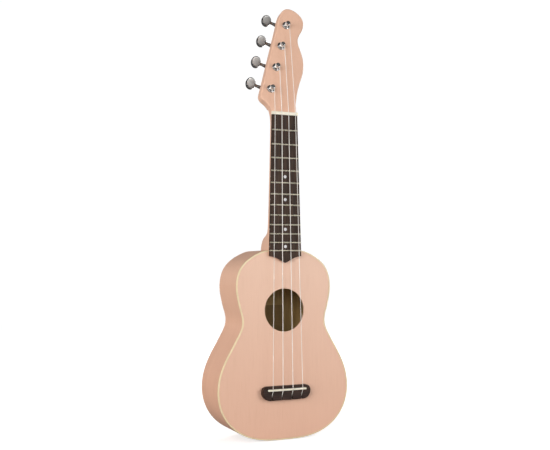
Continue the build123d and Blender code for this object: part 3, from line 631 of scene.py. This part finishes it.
for k in range(4):
    # an oval pad with a shallow dish in each face, and a turned ferrule on its shaft
    half = [(0.0, 1.92), (0.30, 1.93), (0.55, 1.97), (0.72, 2.05), (0.79, 2.14), (0.83, 2.24), (0.87, 2.295), (0.905, 2.27),
            (0.94, 2.14), (0.97, 1.90), (0.988, 1.60), (0.997, 1.25), (1.0, 0.85), (1.0, 0.3)]
    prof = [(z, q) for q, z in half] + [(-z, q) for q, z in reversed(half)]
    seg = 72
    verts, faces, tags = [], [], []
    for z, q in prof[1:-1]:
        for s in range(seg):
            a = 2 * math.pi * s / seg
            verts.append(tuner(k, 23.3 + 6.5 * q * math.cos(a), -6.2 + 8.3 * q * math.sin(a), -17.0 + z) * MM)
    rows = len(prof) - 2
    for i in range(rows - 1):
        for s in range(seg):
            s2 = (s + 1) % seg
            faces.append((i * seg + s, (i + 1) * seg + s, (i + 1) * seg + s2, i * seg + s2))
            q = min(prof[i + 1][1], prof[i + 2][1])
            tags.append(0 if q < 0.80 else 1)
    c0, c1 = len(verts), len(verts) + 1
    verts += [tuner(k, 23.3, -6.2, -17.0 + 1.92) * MM, tuner(k, 23.3, -6.2, -17.0 - 1.92) * MM]
    for s in range(seg):
        s2 = (s + 1) % seg
        faces += [(c0, s, s2), (c1, (rows - 1) * seg + s2, (rows - 1) * seg + s)]
        tags += [0, 0]
    fer = [(8.2, 1.55), (8.2, 1.80), (8.32, 1.98), (8.62, 2.22), (8.95, 2.34), (9.5, 2.37), (10.2, 2.35), (10.42, 2.28), (10.5, 2.12),
           (10.72, 2.10), (10.85, 2.22), (11.6, 2.14), (13.2, 1.96), (14.8, 1.84), (15.6, 1.86), (16.6, 2.06), (17.4, 2.26), (18.2, 2.30), (18.9, 2.22), (19.0, 2.0)]
    fv, ff = lathe(fer, lambda x, a, r: tuner(k, x, -6.2 + r * math.cos(a), -17.0 + r * math.sin(a)))
    off = len(verts)
    btn = new_object("button_%d_pad" % (k + 1), verts + fv, faces + [tuple(i + off for i in f) for f in ff], mats["satin_button"])
    # material 1, the darker rim metal that carries the painted reflection, goes on the rim and the ferrule
    btn.data.materials.append(rim_dark_reflection_metal)
    tags += [1] * len(ff)
    if len(tags) == len(btn.data.polygons):
        btn.data.polygons.foreach_set("material_index", tags)
    bm = bmesh.new()
    bm.from_mesh(btn.data)
    bmesh.ops.recalc_face_normals(bm, faces=bm.faces)
    bm.to_mesh(btn.data)
    bm.free()
    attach(btn, "button_%d" % (k + 1))
    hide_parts("tuner_%d_button" % (k + 1))


# ------------------------------------------------------------------ stage: floor, world, lights, camera
def stage_floor():
    rings, seg = [0.0, 0.12, 0.25, 0.5, 1.0, 2.0, 4.0, 9.0, 20.0, 60.0], 96
    z = cad_lo.z - 0.0004
    verts, faces = [(0, 0.03, z)], []
    for r in rings[1:]:
        for s in range(seg):
            a = 2 * math.pi * s / seg
            verts.append((r * math.cos(a), 0.03 + r * math.sin(a), z))
    for s in range(seg):
        faces.append((0, 1 + s, 1 + (s + 1) % seg))
    for i in range(len(rings) - 2):
        for s in range(seg):
            a, b = 1 + i * seg + s, 1 + i * seg + (s + 1) % seg
            faces.append((a, a + seg, b + seg, b))
    mt = bpy.data.materials.new("pale_floor")
    mt.use_nodes = True
    nt = mt.node_tree
    nt.nodes.clear()
    out = nt.nodes.new("ShaderNodeOutputMaterial")
    tc = nt.nodes.new("ShaderNodeTexCoord")
    ln = nt.nodes.new("ShaderNodeVectorMath")
    ln.operation = "LENGTH"
    nt.links.new(tc.outputs["Object"], ln.inputs[0])
    mr = nt.nodes.new("ShaderNodeMapRange")
    mr.interpolation_type = "SMOOTHSTEP"
    mr.inputs["From Min"].default_value = 0.55
    mr.inputs["From Max"].default_value = 2.2
    nt.links.new(ln.outputs["Value"], mr.inputs["Value"])
    dif = nt.nodes.new("ShaderNodeBsdfDiffuse")
    dif.inputs["Color"].default_value = (0.80, 0.80, 0.80, 1)
    em = nt.nodes.new("ShaderNodeEmission")
    em.inputs["Color"].default_value = (1, 1, 1, 1)
    em.inputs["Strength"].default_value = 0.62
    add = nt.nodes.new("ShaderNodeAddShader")
    nt.links.new(dif.outputs[0], add.inputs[0])
    nt.links.new(em.outputs[0], add.inputs[1])
    far = nt.nodes.new("ShaderNodeEmission")
    far.inputs["Color"].default_value = (1, 1, 1, 1)
    far.inputs["Strength"].default_value = 1.02
    mx = nt.nodes.new("ShaderNodeMixShader")
    nt.links.new(mr.outputs[0], mx.inputs[0])
    nt.links.new(add.outputs[0], mx.inputs[1])
    nt.links.new(far.outputs[0], mx.inputs[2])
    bounce = nt.nodes.new("ShaderNodeBsdfDiffuse")
    bounce.inputs["Color"].default_value = (0.30, 0.29, 0.28, 1)
    lp = nt.nodes.new("ShaderNodeLightPath")
    mb = nt.nodes.new("ShaderNodeMixShader")
    nt.links.new(lp.outputs["Is Camera Ray"], mb.inputs[0])
    nt.links.new(bounce.outputs[0], mb.inputs[1])
    nt.links.new(mx.outputs[0], mb.inputs[2])
    nt.links.new(mb.outputs[0], out.inputs[0])
    o = new_object("floor", verts, faces, mt, smooth=False)
    return o


stage_floor()

world = bpy.data.worlds.new("studio")
scene.world = world
world.use_nodes = True
nt = world.node_tree
nt.nodes.clear()
wo = nt.nodes.new("ShaderNodeOutputWorld")
bg = nt.nodes.new("ShaderNodeBackground")
tc = nt.nodes.new("ShaderNodeTexCoord")
sep = nt.nodes.new("ShaderNodeSeparateXYZ")
nt.links.new(tc.outputs["Generated"], sep.inputs[0])
rp = nt.nodes.new("ShaderNodeValToRGB")
rp.color_ramp.interpolation = "EASE"
mrz = nt.nodes.new("ShaderNodeMapRange")
mrz.inputs["From Min"].default_value = -1.0
nt.links.new(sep.outputs["Z"], mrz.inputs["Value"])
el = rp.color_ramp.elements


def at(deg):
    return 0.5 + 0.5 * math.sin(math.radians(deg))


el[0].position, el[0].color = at(-60), (0.16, 0.15, 0.145, 1)
el[1].position, el[1].color = at(58), (0.07, 0.07, 0.075, 1)
for deg, v in ((-28, 0.42), (-10, 0.86), (16, 0.92), (30, 0.50), (42, 0.20)):
    e = el.new(at(deg))
    e.color = (v, v, v, 1)
nt.links.new(mrz.outputs[0], rp.inputs["Fac"])
nt.links.new(rp.outputs["Color"], bg.inputs["Color"])
behind = nt.nodes.new("ShaderNodeMapRange")
behind.inputs["From Min"].default_value, behind.inputs["From Max"].default_value = -0.1, 0.7
behind.inputs["To Min"].default_value, behind.inputs["To Max"].default_value = 0.48, 0.34
nt.links.new(sep.outputs["Y"], behind.inputs["Value"])
nt.links.new(behind.outputs[0], bg.inputs["Strength"])
white = nt.nodes.new("ShaderNodeBackground")
white.inputs["Color"].default_value = (1, 1, 1, 1)
white.inputs["Strength"].default_value = 1.02
lp = nt.nodes.new("ShaderNodeLightPath")
mxw = nt.nodes.new("ShaderNodeMixShader")
nt.links.new(lp.outputs["Is Camera Ray"], mxw.inputs[0])
nt.links.new(bg.outputs[0], mxw.inputs[1])
nt.links.new(white.outputs[0], mxw.inputs[2])
nt.links.new(mxw.outputs[0], wo.inputs[0])


def area(name, loc, target, size, watts, color=(1, 1, 1)):
    ld = bpy.data.lights.new(name, "AREA")
    ld.shape = "RECTANGLE"
    ld.size, ld.size_y = size
    ld.energy = watts
    ld.color = color
    o = bpy.data.objects.new(name, ld)
    scene.collection.objects.link(o)
    o.location = loc
    o.rotation_euler = (Vector(target) - Vector(loc)).to_track_quat("-Z", "Y").to_euler()
    return o


area("key", (1.5, -2.0, 0.15), (0, 0, -0.2), (1.2, 1.2), 28)
area("fill_front", (-0.5, -2.6, -0.15), (0, 0, -0.2), (1.5, 1.5), 11)
area("fill_left", (-1.85, -0.68, -0.42), (0, 0, -0.33), (2.2, 1.9), 70).visible_glossy = False
area("fill_top", (-1.3, -1.6, 0.9), (0, 0, -0.2), (0.9, 0.9), 8)
area("back_light", (1.5, 1.8, 0.5), (0, 0, -0.2), (1.2, 1.2), 44)

cam = bpy.data.cameras.new("camera")
cam.lens, cam.sensor_width = 53.48, 36.0
cam.clip_start, cam.clip_end = 0.05, 200.0
camo = bpy.data.objects.new("camera", cam)
scene.collection.objects.link(camo)
az, el_, roll = math.radians(-23.65), math.radians(-2.85), math.radians(-0.25)
back = Vector((math.sin(az) * math.cos(el_), -math.cos(az) * math.cos(el_), math.sin(el_)))
right = Vector((math.cos(az), math.sin(az), 0))
up = right.cross(-back)
X = right * math.cos(roll) + up * math.sin(roll)
Y = -right * math.sin(roll) + up * math.cos(roll)
mw = Matrix((X, Y, back)).transposed().to_4x4()
mw.translation = Vector((-0.42604, -0.94403, -0.19145))
camo.matrix_world = mw
scene.camera = camo

scene.view_settings.view_transform = "Standard"
scene.view_settings.look = "None"
scene.view_settings.exposure = 0.0
scene.view_settings.gamma = 1.0
